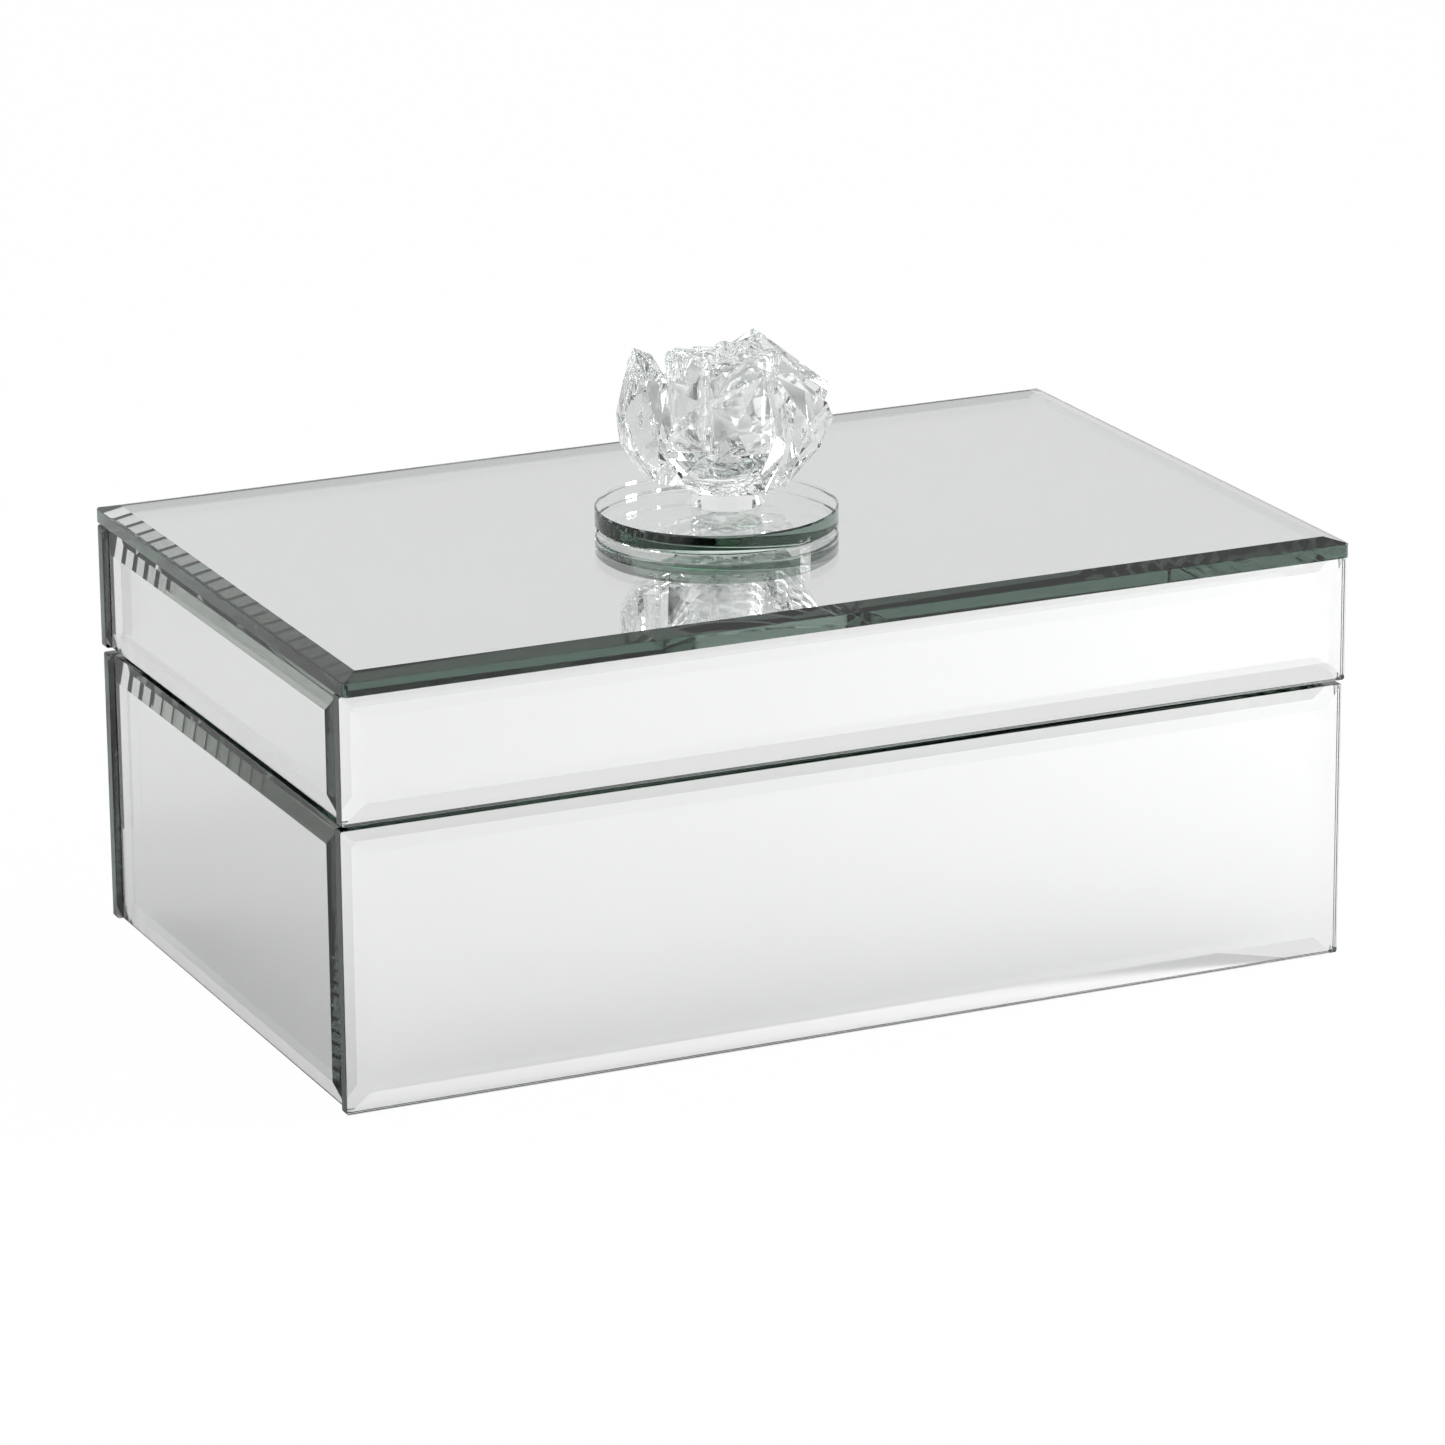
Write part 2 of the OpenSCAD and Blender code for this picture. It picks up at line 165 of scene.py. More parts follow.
def fabric_material(name, dark, light, pile_scale, sheen, depth):
    """Short pile: fine fibres, patches where the pile leans, and a sheen at grazing angles."""
    m, nt, bsdf = new_material(name)
    fine = noise_tex(nt, pile_scale, 6.0, 0.7)
    wide = noise_tex(nt, 45.0, 3.0)
    mix = node(nt, "ShaderNodeMath", operation="MULTIPLY_ADD")
    link(nt, wide.outputs["Fac"], mix.inputs[0])
    mix.inputs[1].default_value = 0.45
    link(nt, fine.outputs["Fac"], mix.inputs[2])
    r = ramp(nt, mix.outputs["Value"], [(0.45, dark), (1.0, light)])
    link(nt, r.outputs["Color"], bsdf.inputs["Base Color"])
    bsdf.inputs["Roughness"].default_value = 0.9
    bsdf.inputs["Sheen Weight"].default_value = sheen
    bsdf.inputs["Sheen Roughness"].default_value = 0.35
    bsdf.inputs["Sheen Tint"].default_value = (0.75, 0.78, 0.85, 1.0)
    bsdf.inputs["Specular IOR Level"].default_value = 0.2
    bump(nt, bsdf, fine.outputs["Fac"], 0.7, depth)
    return m


def steel_material():
    """Nickel plate over stamped steel, with fine rolling marks along the leaf."""
    m, nt, bsdf = new_material("nickel_plate")
    bsdf.inputs["Metallic"].default_value = 1.0
    stretch = nt.nodes.new("ShaderNodeMapping")
    stretch.inputs["Scale"].default_value = (60.0, 2500.0, 2500.0)
    link(nt, coords(nt), stretch.inputs["Vector"])
    grain = node(nt, "ShaderNodeTexNoise", Scale=1.0, Detail=3.0)
    link(nt, stretch.outputs["Vector"], grain.inputs["Vector"])
    wide = noise_tex(nt, 180.0)
    col = ramp(nt, wide.outputs["Fac"], [(0.3, (0.60, 0.585, 0.55)), (0.7, (0.70, 0.69, 0.66))])
    link(nt, col.outputs["Color"], bsdf.inputs["Base Color"])
    rough = ramp(nt, grain.outputs["Fac"], [(0.3, (0.16,) * 3), (0.7, (0.30,) * 3)])
    link(nt, rough.outputs["Color"], bsdf.inputs["Roughness"])
    bump(nt, bsdf, grain.outputs["Fac"], 0.08, 0.00005)
    return m


def silicone_material():
    m, nt, bsdf = new_material("silicone")
    bsdf.inputs["Base Color"].default_value = (0.85, 0.86, 0.86, 1)
    bsdf.inputs["Transmission Weight"].default_value = 0.6
    bsdf.inputs["IOR"].default_value = SILICONE_IOR
    n = noise_tex(nt, 900.0)
    rough = ramp(nt, n.outputs["Fac"], [(0.3, (0.25,) * 3), (0.7, (0.4,) * 3)])
    link(nt, rough.outputs["Color"], bsdf.inputs["Roughness"])
    return m


FLOAT_GLASS = glass_material("float_glass", SODA_LIME_ABSORPTION, SODA_LIME_IOR)
EDGE_GLASS = glass_material("float_glass_edge", SODA_LIME_ABSORPTION, SODA_LIME_IOR, GROUND_EDGE_TINT)
DISC_GLASS = glass_material("disc_glass", DISC_ABSORPTION, SODA_LIME_IOR)
DISC_EDGE = glass_material("disc_glass_edge", DISC_ABSORPTION, SODA_LIME_IOR, DISC_EDGE_TINT)
CRYSTAL = glass_material("crystal_glass", CRYSTAL_ABSORPTION, CRYSTAL_IOR)
JOINT = joint_material()
SILVER = silver_material()
BOARD = board_material()
VELVET = fabric_material("velvet", (0.004, 0.004, 0.005), (0.020, 0.020, 0.024),
                         pile_scale=2600.0, sheen=0.6, depth=0.0003)
FELT = fabric_material("felt", (0.010, 0.010, 0.011), (0.035, 0.035, 0.038),
                       pile_scale=1400.0, sheen=0.25, depth=0.0002)
STEEL = steel_material()
SILICONE = silicone_material()


# ---------------------------------------------------------------- mesh helpers

def add_object(name, bm, materials, smooth=None):
    """An object from bm. Edges that turn more than smooth degrees stay sharp. Without it, faces are flat."""
    me = bpy.data.meshes.new(name)
    bm.normal_update()
    bm.to_mesh(me)
    bm.free()
    for m in materials:
        me.materials.append(m)
    o = bpy.data.objects.new(name, me)
    bpy.context.scene.collection.objects.link(o)
    if smooth is not None:
        me.polygons.foreach_set("use_smooth", [True] * len(me.polygons))
        me.set_sharp_from_angle(angle=math.radians(smooth))
    return o


def place(o, cad_nodes, body):
    """Hides the CAD pieces that o takes the place of, and hangs o on the body it moves with."""
    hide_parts(*cad_nodes)
    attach(o, body)


# ---------------------------------------------------------------- mirrors

# Material indexes of a mirror's faces. The clear face is 0
SILVERED, GROUND, GLUED = 1, 2, 3

GLASS_T = 4.0 * MM
ARRIS = 0.1 * MM
CORNER_STEPS = 6
SPOT_STEPS = 64
SIDE_CUT = {"edge": 2.7 * MM, "bevel": 4.6 * MM, "corner": 0.5 * MM}
TOP_CUT = {"edge": 2.9 * MM, "bevel": 4.1 * MM, "corner": 1.4 * MM}


def corner_outline(w, h, r, steps):
    """Outline of a sheet with rounded corners, one list of points per corner, from the lower right round."""
    corners = []
    for k, (sx, sy) in enumerate([(1, -1), (1, 1), (-1, 1), (-1, -1)]):
        cx, cy = sx * (w / 2 - r), sy * (h / 2 - r)
        a0 = math.radians(-90 + 90 * k)
        corners.append([(cx + r * math.cos(a0 + math.pi / 2 * i / steps),
                         cy + r * math.sin(a0 + math.pi / 2 * i / steps)) for i in range(steps + 1)])
    return corners


def glued_spot(bm, outer, centre, r, z):
    """The flat face inside the loop outer, with a round patch in it that something is glued to."""
    steps = SPOT_STEPS
    circle = [bm.verts.new((centre[0] + r * math.cos(2 * math.pi * i / steps),
                            centre[1] + r * math.sin(2 * math.pi * i / steps), z)) for i in range(steps)]
    bm.faces.new(circle).material_index = GLUED
    turns = [math.radians(-45 + 90 * k) for k in range(4)]
    starts = [max(range(len(outer)), key=lambda i: (outer[i].co.x - centre[0]) * math.cos(t)
                  + (outer[i].co.y - centre[1]) * math.sin(t)) for t in turns]
    for k in range(4):
        i, stop = starts[k], starts[(k + 1) % 4]
        path = [outer[i]]
        while i != stop:
            i = (i + 1) % len(outer)
            path.append(outer[i])
        a, b = steps * (k * 2 - 1) // 8, steps * (k * 2 + 1) // 8
        bm.faces.new(path + [circle[j % steps] for j in range(b, a - 1, -1)])


def mirror_panel(name, cad_node, body, to_row, cut, spot=None):
    """A bevelled mirror. Its own frame has the silvered back on w = 0 and the face on w = GLASS_T.
    spot is the middle and the radius of what is glued to its face."""
    lo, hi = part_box(cad_node)
    inv = to_row.inverted()
    a, b = inv @ lo, inv @ hi
    w, h = abs(a.x - b.x), abs(a.y - b.y)
    centre = (a + b) / 2
    back = min(a.z, b.z)
    slope = (GLASS_T - cut["edge"]) / cut["bevel"]
    corners = corner_outline(w, h, cut["corner"], CORNER_STEPS)
    bm = bmesh.new()
    flat = [p for c in corners for p in c]

    def height(p):
        return cut["edge"] + slope * min(w / 2 - abs(p[0]), h / 2 - abs(p[1]))

    bottom = [bm.verts.new((x, y, 0)) for x, y in flat]
    rim = [bm.verts.new((x, y, height((x, y)))) for x, y in flat]
    n = len(flat)
    for i in range(n):
        f = bm.faces.new((bottom[i], bottom[(i + 1) % n], rim[(i + 1) % n], rim[i]))
        f.material_index = GROUND
    bx, by = w / 2 - cut["bevel"], h / 2 - cut["bevel"]
    inner = [bm.verts.new((sx * bx, sy * by, GLASS_T)) for sx, sy in [(1, -1), (1, 1), (-1, 1), (-1, -1)]]
    if spot:
        at, r = spot
        glued_spot(bm, inner, (at.x - (lo.x + hi.x) / 2, at.y - (lo.y + hi.y) / 2), r, GLASS_T)
    else:
        bm.faces.new(inner)
    per = CORNER_STEPS + 1
    for k in range(4):
        start, stop = k * per + per // 2, (k + 1) * per + per // 2
        side = [rim[i % n] for i in range(start, stop + 1)]
        bm.faces.new(side + [inner[(k + 1) % 4], inner[k]])
    bm.faces.new(bottom[::-1]).material_index = SILVERED
    bm.normal_update()
    arris = [e for e in bm.edges if len(e.link_faces) == 2
             and e.calc_face_angle(0) > math.radians(ARRIS_EDGE)]
    bmesh.ops.bevel(bm, geom=arris, offset=ARRIS, segments=1, affect="EDGES", material=GROUND)
    bmesh.ops.recalc_face_normals(bm, faces=bm.faces)
    bm.transform(to_row @ Matrix.Translation((centre.x, centre.y, back)))
    o = add_object(name, bm, [FLOAT_GLASS, SILVER, EDGE_GLASS, JOINT], smooth=8)
    place(o, [cad_node], body)


def wall_frame(side):
    """Turns a panel's own frame to a wall: across, up, outwards."""
    turn = {"front": 0, "right": 90, "back": 180, "left": 270}[side]
    return Matrix.Rotation(math.radians(turn), 4, "Z") @ Matrix.Rotation(math.radians(90), 4, "X")


for body in ("base", "lid"):
    for side in ("front", "back", "left", "right"):
        mirror_panel(f"{body}_{side}_bevelled_mirror", f"{body}_{side}_mirror", body, wall_frame(side),
                     SIDE_CUT)

DISC_LO, DISC_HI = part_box("knob_disc")
DISC_AT = (DISC_LO + DISC_HI) / 2
DISC_R, DISC_T = (DISC_HI.x - DISC_LO.x) / 2, DISC_HI.z - DISC_LO.z
DISC_ARRIS = 0.35 * MM
DISC_STEPS = 256
mirror_panel("lid_top_bevelled_mirror", "lid_top_mirror", "lid", Matrix.Identity(4), TOP_CUT,
             (DISC_AT, DISC_R - DISC_ARRIS))


# ---------------------------------------------------------------- disc

def ring(bm, r, z, steps):
    """A ring of points round the vertical axis."""
    turns = [2 * math.pi * i / steps for i in range(steps)]
    return [bm.verts.new((r * math.cos(a), r * math.sin(a), z)) for a in turns]


def join_rings(bm, rings, material=0):
    """Bands of faces between neighbouring rings."""
    for a, b in zip(rings, rings[1:]):
        for i in range(len(a)):
            j = (i + 1) % len(a)
            bm.faces.new((a[i], a[j], b[j], b[i])).material_index = material


def clear_disc():
    """The disc, joined to the mirror below it by clear adhesive."""
    edge, joint = 1, 2
    bm = bmesh.new()
    c = DISC_ARRIS
    profile = ((DISC_R - c, 0), (DISC_R, c), (DISC_R, DISC_T - c), (DISC_R - c, DISC_T))
    rings = [ring(bm, r, z, DISC_STEPS) for r, z in profile]
    join_rings(bm, rings[:2])
    join_rings(bm, rings[1:3], edge)
    join_rings(bm, rings[2:])
    bm.faces.new(rings[0][::-1]).material_index = joint
    bm.faces.new(rings[-1])
    bmesh.ops.recalc_face_normals(bm, faces=bm.faces)
    bm.transform(Matrix.Translation((DISC_AT.x, DISC_AT.y, DISC_LO.z)))
    o = add_object("clear_glass_disc", bm, [DISC_GLASS, DISC_EDGE, JOINT], 20)
    place(o, ["knob_disc"], "lid")


clear_disc()


# ---------------------------------------------------------------- rose

ROSE_TURN = math.radians(-24.5)
PETAL_ARRIS = 0.12 * MM
FOOT_ARRIS = 0.1 * MM
FOOT_TOP_R = 8 * MM
FOOT_LO, FOOT_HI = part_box("rose_foot")
ROSE_AT = Vector(((FOOT_LO.x + FOOT_HI.x) / 2, (FOOT_LO.y + FOOT_HI.y) / 2, FOOT_LO.z))
FOOT_H = FOOT_HI.z - FOOT_LO.z
TO_ROSE = Matrix.Translation(ROSE_AT) @ Matrix.Rotation(ROSE_TURN, 4, "Z")


def rose_piece(name, bm, cad_node, smooth):
    """A piece of the rose, from a mesh in the rose's own frame. Faces with material 1 are glued."""
    bm.transform(TO_ROSE)
    o = add_object(name, bm, [CRYSTAL, JOINT], smooth)
    place(o, [cad_node], "lid")


def cut_facets(cad_node, arris):
    """The CAD piece's own facets, as broad flat faces with ground arrises."""
    bm = bmesh.new()
    o = NODES[cad_node]
    bm.from_mesh(o.data)
    bm.transform(TO_ROSE.inverted() @ o.matrix_world)
    bmesh.ops.remove_doubles(bm, verts=bm.verts, dist=1e-6)
    bmesh.ops.dissolve_limit(bm, angle_limit=math.radians(FLAT_FACET), verts=bm.verts, edges=bm.edges)
    sharp = [e for e in bm.edges if len(e.link_faces) == 2
             and e.calc_face_angle(0) > math.radians(SHARP_EDGE)]
    bmesh.ops.bevel(bm, geom=sharp, offset=arris, segments=1, affect="EDGES", clamp_overlap=True)
    bm.normal_update()
    return bm


def cut_petal(cad_node):
    """An outer petal. Its underside is glued to the foot."""
    bm = cut_facets(cad_node, PETAL_ARRIS)
    for f in bm.faces:
        c = f.calc_center_median()
        if c.z < FOOT_H + 0.3 * MM and f.normal.z < -0.9 and c.xy.length < FOOT_TOP_R:
            f.material_index = 1
    rose_piece(cad_node.replace("outer_petal", "crystal_outer_petal"), bm, cad_node, None)


# Inner petals: the wall's section as (radius, height), and the arch of their rims
WALL_IN = (Vector((7.0, 10.4)) * MM, Vector((9.3, 35.5)) * MM)
WALL_OUT = (Vector((10.9, 14.1)) * MM, Vector((12.9, 35.5)) * MM)
WALL_MID_R = 11.0 * MM
RIM_ARCH_R = 11.1 * MM
RIM_ROUND = 1.7 * MM
RIM_WAVE = 0.25 * MM
RIM_WAVES, WAVE_START = 5.0, 1.3    # waves in a full turn, and where they start, in radians
PETAL_SHARE = 0.995                 # of the CAD petal's width
END_SHARE = 0.10                    # of the half width, which rounds off
END_THIN = 0.12                     # of the wall's thickness, left at the very end
END_DROP = 1.2 * MM
PETAL_STEPS = 72
RIM_STEPS = 14
WALL_STEPS = 12


def inner_petal(cad_node, mid, half, rim, off):
    """A curved, moulded petal with a thick rounded rim and rounded ends. mid and half are its direction
    and half width in degrees, rim its top and off the arch's shift to the side, in millimetres."""
    mid, half = math.radians(mid), math.radians(half)
    rim, off = rim * MM, off * MM
    floor_in, floor_out = WALL_IN[0], WALL_OUT[0]

    def at(line, z):
        a, b = line
        return a.x + (b.x - a.x) * (z - a.y) / (b.y - a.y)

    bm = bmesh.new()
    loops = []
    for i in range(PETAL_STEPS + 1):
        t = -1 + 2 * i / PETAL_STEPS
        turn = mid + half * t * PETAL_SHARE
        side = WALL_MID_R * math.sin(half * t) - off
        top = rim - RIM_ARCH_R + math.sqrt(max(RIM_ARCH_R ** 2 - side ** 2, 1e-10))
        end = max(0.0, (abs(t) - (1 - END_SHARE)) / END_SHARE)
        thin = max(END_THIN, math.sqrt(max(0.0, 1 - end ** 2)))
        wave = RIM_WAVE * math.sin(RIM_WAVES * turn + WAVE_START)
        top -= RIM_WAVE + wave + END_DROP * (1 - thin)
        shoulder = top - RIM_ROUND
        section = []
        for k in range(WALL_STEPS):
            z = floor_out.y + (shoulder - floor_out.y) * k / (WALL_STEPS - 1)
            section.append((at(WALL_OUT, z), z))
        r_o, r_i = at(WALL_OUT, shoulder), at(WALL_IN, shoulder)
        for k in range(1, RIM_STEPS):
            a = math.pi * k / RIM_STEPS
            section.append(((r_o + r_i) / 2 + (r_o - r_i) / 2 * math.cos(a),
                            shoulder + RIM_ROUND * math.sin(a) ** 0.8))
        for k in range(WALL_STEPS):
            z = shoulder + (floor_in.y - shoulder) * k / (WALL_STEPS - 1)
            section.append((at(WALL_IN, z), z))
        centre = sum(p[0] for p in section) / len(section)
        loops.append([bm.verts.new(((centre + (r - centre) * thin) * math.cos(turn),
                                    (centre + (r - centre) * thin) * math.sin(turn), z)) for r, z in section])
    n = len(loops[0])
    for a, b in zip(loops, loops[1:]):
        for k in range(n):
            bm.faces.new((a[k], a[(k + 1) % n], b[(k + 1) % n], b[k]))
    bm.faces.new(loops[0][::-1])
    bm.faces.new(loops[-1])
    bmesh.ops.recalc_face_normals(bm, faces=bm.faces)
    rose_piece(cad_node.replace("inner_petal", "crystal_inner_petal"), bm, cad_node, 50)


# The bud: its widest radius, and its highest and lowest folds
BUD_R, BUD_TOP, BUD_LOW = 8.6 * MM, 34.1 * MM, 28.0 * MM
BUD_HOLLOW = 2.2 * MM               # how far its middle lies below its highest fold
BUD_PITCH = 2.8 * MM                # between turns of the rolled petal
BUD_SHOULDER = 0.82                 # of its radius, where its top starts to fall away
BUD_FALL = 4 * MM
BUD_SIDE = ((8.3, 24.5), (7.9, 20.0), (7.4, 15.0), (6.8, 10.3), (3.5, 7.05))     # radius and height, in mm
BUD_TIP = 3.6 * MM
BUD_STEPS, BUD_RINGS = 160, 34


def bud(cad_node):
    """The heart: one solid piece whose top is pressed into a rolled, folded bud."""
    bm = bmesh.new()
    steps, rings = BUD_STEPS, BUD_RINGS
    wide, top, low = BUD_R, BUD_TOP, BUD_LOW
    surface = []
    centre = bm.verts.new((0, 0, top - BUD_HOLLOW))
    for j in range(1, rings + 1):
        r = wide * j / rings
        loop = []
        for i in range(steps):
            a = 2 * math.pi * i / steps
            roll = r / BUD_PITCH - a / (2 * math.pi)
            ridge = abs(math.cos(math.pi * (roll - 0.1))) ** 0.7
            lump = 0.5 + 0.5 * math.sin(3 * a + 0.76 * r / MM)
            fall = max(0.0, (r / wide - BUD_SHOULDER) / (1 - BUD_SHOULDER))
            folds = (0.25 + 0.5 * ridge + 0.25 * lump) * (1 - 0.35 * r / wide)
            z = low + (top - low) * folds - BUD_FALL * fall ** 2
            loop.append(bm.verts.new((r * math.cos(a), r * math.sin(a), min(z, top))))
        surface.append(loop)
    for r, z in BUD_SIDE:
        surface.append(ring(bm, r * MM, z * MM, steps))
    tip = bm.verts.new((0, 0, BUD_TIP))
    for i in range(steps):
        j = (i + 1) % steps
        bm.faces.new((centre, surface[0][i], surface[0][j]))
        bm.faces.new((tip, surface[-1][j], surface[-1][i]))
        for a, b in zip(surface, surface[1:]):
            bm.faces.new((a[i], b[i], b[j], a[j]))
    bmesh.ops.recalc_face_normals(bm, faces=bm.faces)
    rose_piece("crystal_rose_bud", bm, cad_node, 70)


def foot(cad_node):
    """The foot. Its top is glued to the petals."""
    bm = cut_facets(cad_node, FOOT_ARRIS)
    for f in bm.faces:
        if f.normal.z > 0.9:
            f.material_index = 1
    rose_piece("crystal_rose_foot", bm, cad_node, None)


for petal in ("left", "front", "right", "back_right", "back_left"):
    cut_petal("outer_petal_" + petal)
inner_petal("inner_petal_left", 207, 44, 34.8, 3)
inner_petal("inner_petal_front", 298, 42, 34.2, 4)
inner_petal("inner_petal_back", 68, 60, 31.8, 0)
bud("rose_bud")
foot("rose_foot")


# ---------------------------------------------------------------- soft goods

GRID = 2.2 * MM
EDGE_PLACES = (0, 0.04, 0.12, 0.25, 0.42, 0.65, 1.0)    # as shares of the rounded edge's width
EDGE_THICKNESS = 0.12               # of the full thickness, where the cloth is pulled down
UNEVEN_SCALE = 38.0                 # of the cloth's unevenness, per metre


def stations(size, edge):
    """Places along a side: close together in the rounded edges, and evenly spread between them."""
    near = [edge * k for k in EDGE_PLACES]
    count = max(4, int((size - 2 * edge) / GRID))
    middle = [edge + (size - 2 * edge) * k / count for k in range(1, count)]
    return near + middle + [size - x for x in near[::-1]]


def soft_panel(name, cad_node, axis, facing, edge, crown, ripple, material):
    """Padding under cloth: it is pulled down round its edges, and rises to the middle with faint unevenness.
    axis is its thin direction, and facing is 1 or -1 along it."""
    lo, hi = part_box(cad_node)
    i, j = [k for k in range(3) if k != axis]
    size = hi - lo
    us, vs = stations(size[i], edge), stations(size[j], edge)
    thick = size[axis]
    bm = bmesh.new()

    def rounded(d):
        return math.sqrt(1 - (1 - min(1.0, max(d, 0.0) / edge)) ** 2)

    def point(u, v, w):
        p = Vector((0, 0, 0))
        p[i], p[j] = lo[i] + u, lo[j] + v
        p[axis] = lo[axis] + w if facing > 0 else hi[axis] - w
        return bm.verts.new(p)

    grid = []
    for u in us:
        row = []
        for v in vs:
            pull = rounded(min(u, size[i] - u)) * rounded(min(v, size[j] - v))
            a, b = 2 * u / size[i] - 1, 2 * v / size[j] - 1
            rise = 1 - crown * (1 - (1 - a ** 4) * (1 - b ** 4))
            uneven = 0.5 + 0.5 * noise.noise(Vector((u, v, 7.0 * axis + facing)) * UNEVEN_SCALE)
            height = thick * (EDGE_THICKNESS + (1 - EDGE_THICKNESS) * pull * rise)
            w = height - ripple * uneven * pull
            row.append(point(u, v, w))
        grid.append(row)
    for a, b in zip(grid, grid[1:]):
        for k in range(len(vs) - 1):
            bm.faces.new((a[k], b[k], b[k + 1], a[k + 1]))
    rim = [r[0] for r in grid] + grid[-1][1:] + [r[-1] for r in grid[-2::-1]] + grid[0][-2:0:-1]
    back = []
    for v in rim:
        p = v.co.copy()
        p[axis] = lo[axis] if facing > 0 else hi[axis]
        back.append(bm.verts.new(p))
    for k in range(len(rim)):
        m = (k + 1) % len(rim)
        bm.faces.new((rim[k], rim[m], back[m], back[k]))
    bm.faces.new(back)
    bmesh.ops.recalc_face_normals(bm, faces=bm.faces)
    return add_object(name, bm, [material], 50)


def velvet_panel(name, cad_node, body, axis, facing, edge, crown, ripple, fill):
    """A pad or a lining. fill, how much of it is padding, is not used."""
    o = soft_panel(name, cad_node, axis, facing, edge, crown, ripple, VELVET)
    place(o, [cad_node], body)


PAD = {"edge": 3.5 * MM, "crown": 0.22, "ripple": 0.30 * MM, "fill": 0.7}
LINING = {"edge": 1.4 * MM, "crown": 0.10, "ripple": 0.12 * MM, "fill": 0.9}
UNDERSIDE = {"edge": 0.5 * MM, "crown": 0.0, "ripple": 0.05 * MM}

velvet_panel("base_floor_velvet_pad", "base_floor_pad", "base", 2, 1, **PAD)
velvet_panel("lid_velvet_pad", "lid_pad", "lid", 2, -1, **PAD)
for body in ("base", "lid"):
    for side, axis, facing in (("front", 1, 1), ("back", 1, -1), ("left", 0, 1), ("right", 0, -1)):
        velvet_panel(f"{body}_{side}_velvet_lining", f"{body}_{side}_lining", body, axis, facing, **LINING)

felt = soft_panel("underside_felt_sheet", "underside_felt", 2, -1, material=FELT, **UNDERSIDE)
place(felt, ["underside_felt"], "base")


# A dot's section, as fractions of its radius and height
DOT_SECTION = ((1, 0), (1, 0.3), (0.93, 0.62), (0.78, 0.85), (0.52, 0.96), (0.25, 0.995), (0.06, 1))


def silicone_dots():
    """The two soft bumpers on the base's rim, as one piece."""
    lo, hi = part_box("rim_bumpers")
    r, h = (hi.y - lo.y) / 2, hi.z - lo.z
    bm = bmesh.new()
    for x in (lo.x + r, hi.x - r):
        rings = [ring(bm, r * k, h * z, 48) for k, z in DOT_SECTION]
        join_rings(bm, rings)
        bm.faces.new(rings[0][::-1])
        bm.faces.new(rings[-1])
        for v in {v for loop in rings for v in loop}:
            v.co += Vector((x, (lo.y + hi.y) / 2, lo.z))
    bmesh.ops.recalc_face_normals(bm, faces=bm.faces)
    o = add_object("silicone_rim_dots", bm, [SILICONE], 50)
    place(o, ["rim_bumpers"], "base")


silicone_dots()


# ---------------------------------------------------------------- carried-over pieces

def own_material(name, material):
    """Gives a CAD piece a material in its own slots."""
    o = NODES[name]
    if not o.data.materials:
        o.data.materials.append(material)
    for s in o.material_slots:
        s.material = material


BOARD_ARRIS = 0.35 * MM

for name in NODES:
    if name.endswith("_board"):
        own_material(name, BOARD)
        worn = NODES[name].modifiers.new("sanded edges", "BEVEL")
        worn.width = BOARD_ARRIS
        worn.segments = 2
    elif "leaf" in name or "pin" in name or "screw" in name:
        own_material(name, STEEL)


# ---------------------------------------------------------------- room, light and camera

FLOOR_Z = -0.0002
FLOOR_COLOUR = (0.88, 0.88, 0.88, 1)
FLOOR_GLOW = 0.985              # how much of the floor that the camera sees is plain white
GLASS_BOUNCES = 48
AIM = Vector((0, 0, 0.05))

# Radiance by height: horizon, the wall that the top mirror shows, a dim band, then the ceiling
STUDIO = [(0.0, (0.90, 0.90, 0.90)), (0.15, (0.82, 0.82, 0.822)), (0.42, (0.80, 0.80, 0.805)),
          (0.62, (0.42, 0.42, 0.43)), (0.80, (1.05, 1.05, 1.05)), (1.0, (1.25, 1.25, 1.25))]

# A black flag above and behind the camera: its bearing, its height in radians, and its soft edge
FLAG_BEARING = Vector((-0.3953, -0.8682, 0.0))
FLAG_RISE = 0.6
FLAG_EDGE = [(0.80, (1, 1, 1)), (0.90, (0.06, 0.06, 0.06))]

# Painted shade for the glass bevels: a card on the floor at the front left, dark only to light with more
# bounces than this behind it
CARD = [(-0.112, -0.075), (-0.112, -0.7), (-0.9, -0.7), (-0.9, 0.9), (-0.32, 0.4), (-0.15, 0.02),
        (-0.12, -0.05)]
CARD_DEPTH = 3.5

CAMERA_AT = (-0.5677, -1.2497, 0.4767)
CAMERA_YAW, CAMERA_PITCH, CAMERA_ROLL = 24.478, 17.400, 0.503
LENS, SENSOR = 173.2, 36.0

scene = bpy.context.scene
scene.view_settings.view_transform = "Standard"
scene.cycles.max_bounces = GLASS_BOUNCES
scene.cycles.transmission_bounces = GLASS_BOUNCES
scene.cycles.glossy_bounces = GLASS_BOUNCES
scene.cycles.diffuse_bounces = 3
scene.cycles.transparent_max_bounces = 16
scene.cycles.caustics_reflective = True
scene.cycles.caustics_refractive = True


def multiply(nt, a, b):
    m = nt.nodes.new("ShaderNodeMixRGB")
    m.blend_type = "MULTIPLY"
    m.inputs["Fac"].default_value = 1.0
    link(nt, a, m.inputs["Color1"])
    link(nt, b, m.inputs["Color2"])
    return m.outputs["Color"]


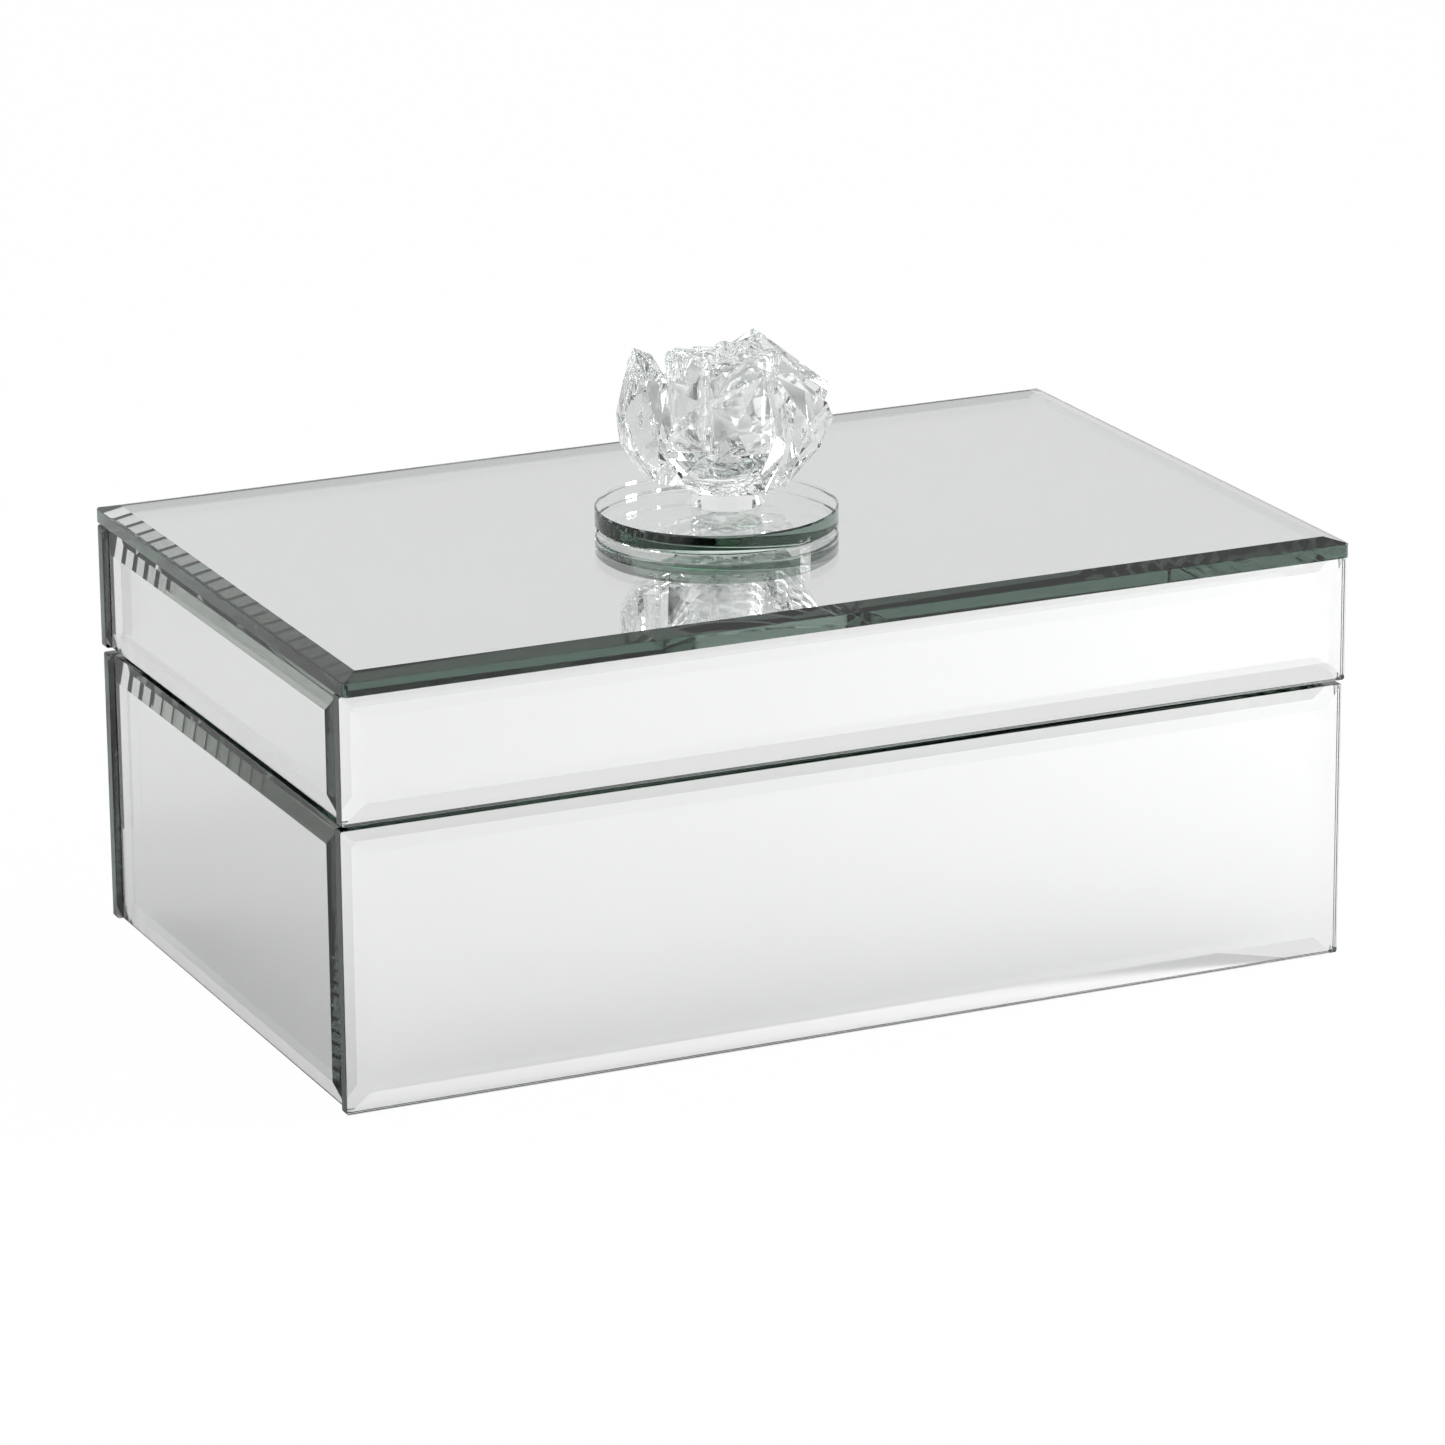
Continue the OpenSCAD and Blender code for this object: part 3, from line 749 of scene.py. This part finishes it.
def studio_world():
    """A soft studio all round. The camera itself sees plain white."""
    world = bpy.data.worlds.new("studio")
    scene.world = world
    world.use_nodes = True
    nt = world.node_tree
    background = nt.nodes["Background"]
    direction = nt.nodes.new("ShaderNodeTexCoord").outputs["Generated"]
    sep = nt.nodes.new("ShaderNodeSeparateXYZ")
    link(nt, direction, sep.inputs["Vector"])
    sky = ramp(nt, sep.outputs["Z"], STUDIO)
    dot = node(nt, "ShaderNodeVectorMath", operation="DOT_PRODUCT")
    link(nt, direction, dot.inputs[0])
    dot.inputs[1].default_value = (FLAG_BEARING.normalized() * math.cos(FLAG_RISE)
                                   + Vector((0, 0, math.sin(FLAG_RISE))))
    flag = ramp(nt, dot.outputs["Value"], FLAG_EDGE)
    path = nt.nodes.new("ShaderNodeLightPath")
    seen = nt.nodes.new("ShaderNodeMixRGB")
    link(nt, path.outputs["Is Camera Ray"], seen.inputs["Fac"])
    link(nt, multiply(nt, sky.outputs["Color"], flag.outputs["Color"]), seen.inputs["Color1"])
    seen.inputs["Color2"].default_value = (1, 1, 1, 1)
    link(nt, seen.outputs["Color"], background.inputs["Color"])
    background.inputs["Strength"].default_value = 1.0


def mix_surface(nt, factor, first, second):
    """The material's surface: first where factor is 0, and second where it is 1."""
    mix = nt.nodes.new("ShaderNodeMixShader")
    link(nt, factor, mix.inputs["Fac"])
    link(nt, first, mix.inputs[1])
    link(nt, second, mix.inputs[2])
    link(nt, mix.outputs["Shader"], nt.nodes["Material Output"].inputs["Surface"])


def pale_floor():
    """A matte floor, which the camera sees as almost plain white."""
    bm = bmesh.new()
    bmesh.ops.create_circle(bm, cap_ends=True, radius=6.0, segments=96)
    bm.transform(Matrix.Translation((0, 0, FLOOR_Z)))
    m, nt, bsdf = new_material("pale_floor")
    bsdf.inputs["Base Color"].default_value = FLOOR_COLOUR
    bsdf.inputs["Roughness"].default_value = 1.0
    bsdf.inputs["Specular IOR Level"].default_value = 0.0
    glow = node(nt, "ShaderNodeEmission", Strength=1.0)
    path = nt.nodes.new("ShaderNodeLightPath")
    share = node(nt, "ShaderNodeMath", operation="MULTIPLY")
    link(nt, path.outputs["Is Camera Ray"], share.inputs[0])
    share.inputs[1].default_value = FLOOR_GLOW
    mix_surface(nt, share.outputs["Value"], bsdf.outputs["BSDF"], glow.outputs["Emission"])
    add_object("floor", bm, [m])


def painted_shade_card():
    """Painted shade for the glass bevels: a card that is dark only to light that has run along inside a glass
    bevel, and like the floor to everything else.
    """
    bm = bmesh.new()
    bm.faces.new([bm.verts.new((x, y, FLOOR_Z + 0.1 * MM)) for x, y in CARD])
    m, nt, bsdf = new_material("painted_bevel_shade")
    # The dark colour of the painted bevel shade, faintly uneven
    n = noise_tex(nt, 40.0)
    r = ramp(nt, n.outputs["Fac"], [(0.3, (0.012, 0.012, 0.012)), (0.7, (0.02, 0.02, 0.02))])
    link(nt, r.outputs["Color"], bsdf.inputs["Base Color"])
    bsdf.inputs["Roughness"].default_value = 0.9
    bsdf.inputs["Specular IOR Level"].default_value = 0.1
    pale = node(nt, "ShaderNodeBsdfDiffuse", Color=FLOOR_COLOUR, Roughness=1.0)
    path = nt.nodes.new("ShaderNodeLightPath")
    deep = node(nt, "ShaderNodeMath", operation="GREATER_THAN")
    link(nt, path.outputs["Ray Depth"], deep.inputs[0])
    deep.inputs[1].default_value = CARD_DEPTH
    mix_surface(nt, deep.outputs["Value"], pale.outputs["BSDF"], bsdf.outputs["BSDF"])
    o = add_object("painted_bevel_shade", bm, [m])
    o.visible_camera = False
    o.visible_diffuse = False
    o.visible_shadow = False


def area_light(name, at, size, power):
    """A rectangular soft light that points at the box."""
    d = bpy.data.lights.new(name, "AREA")
    d.shape = "RECTANGLE"
    d.size, d.size_y = size
    d.energy = power
    o = bpy.data.objects.new(name, d)
    scene.collection.objects.link(o)
    o.location = Vector(at)
    o.rotation_euler = (AIM - o.location).to_track_quat("-Z", "Y").to_euler()


def place_camera():
    data = bpy.data.cameras.new("camera")
    cam = bpy.data.objects.new("camera", data)
    scene.collection.objects.link(cam)
    scene.camera = cam
    data.lens, data.sensor_width = LENS, SENSOR
    data.clip_start, data.clip_end = 0.05, 50.0
    yaw, pitch, roll = (math.radians(a) for a in (CAMERA_YAW, CAMERA_PITCH, CAMERA_ROLL))
    ahead = Vector((math.cos(pitch) * math.sin(yaw), math.cos(pitch) * math.cos(yaw), -math.sin(pitch)))
    right = Vector((math.cos(yaw), -math.sin(yaw), 0.0))
    up = right.cross(ahead)
    tilt = Matrix.Rotation(roll, 3, ahead)
    turned = Matrix((tilt @ right, tilt @ up, -ahead)).transposed().to_4x4()
    cam.matrix_world = Matrix.Translation(CAMERA_AT) @ turned


studio_world()
pale_floor()
painted_shade_card()
area_light("key", at=(0.52, -0.23, 0.42), size=(0.16, 0.35), power=2.2)
area_light("fill", at=(-0.70, -0.42, 0.8), size=(0.7, 0.7), power=2.2)
place_camera()
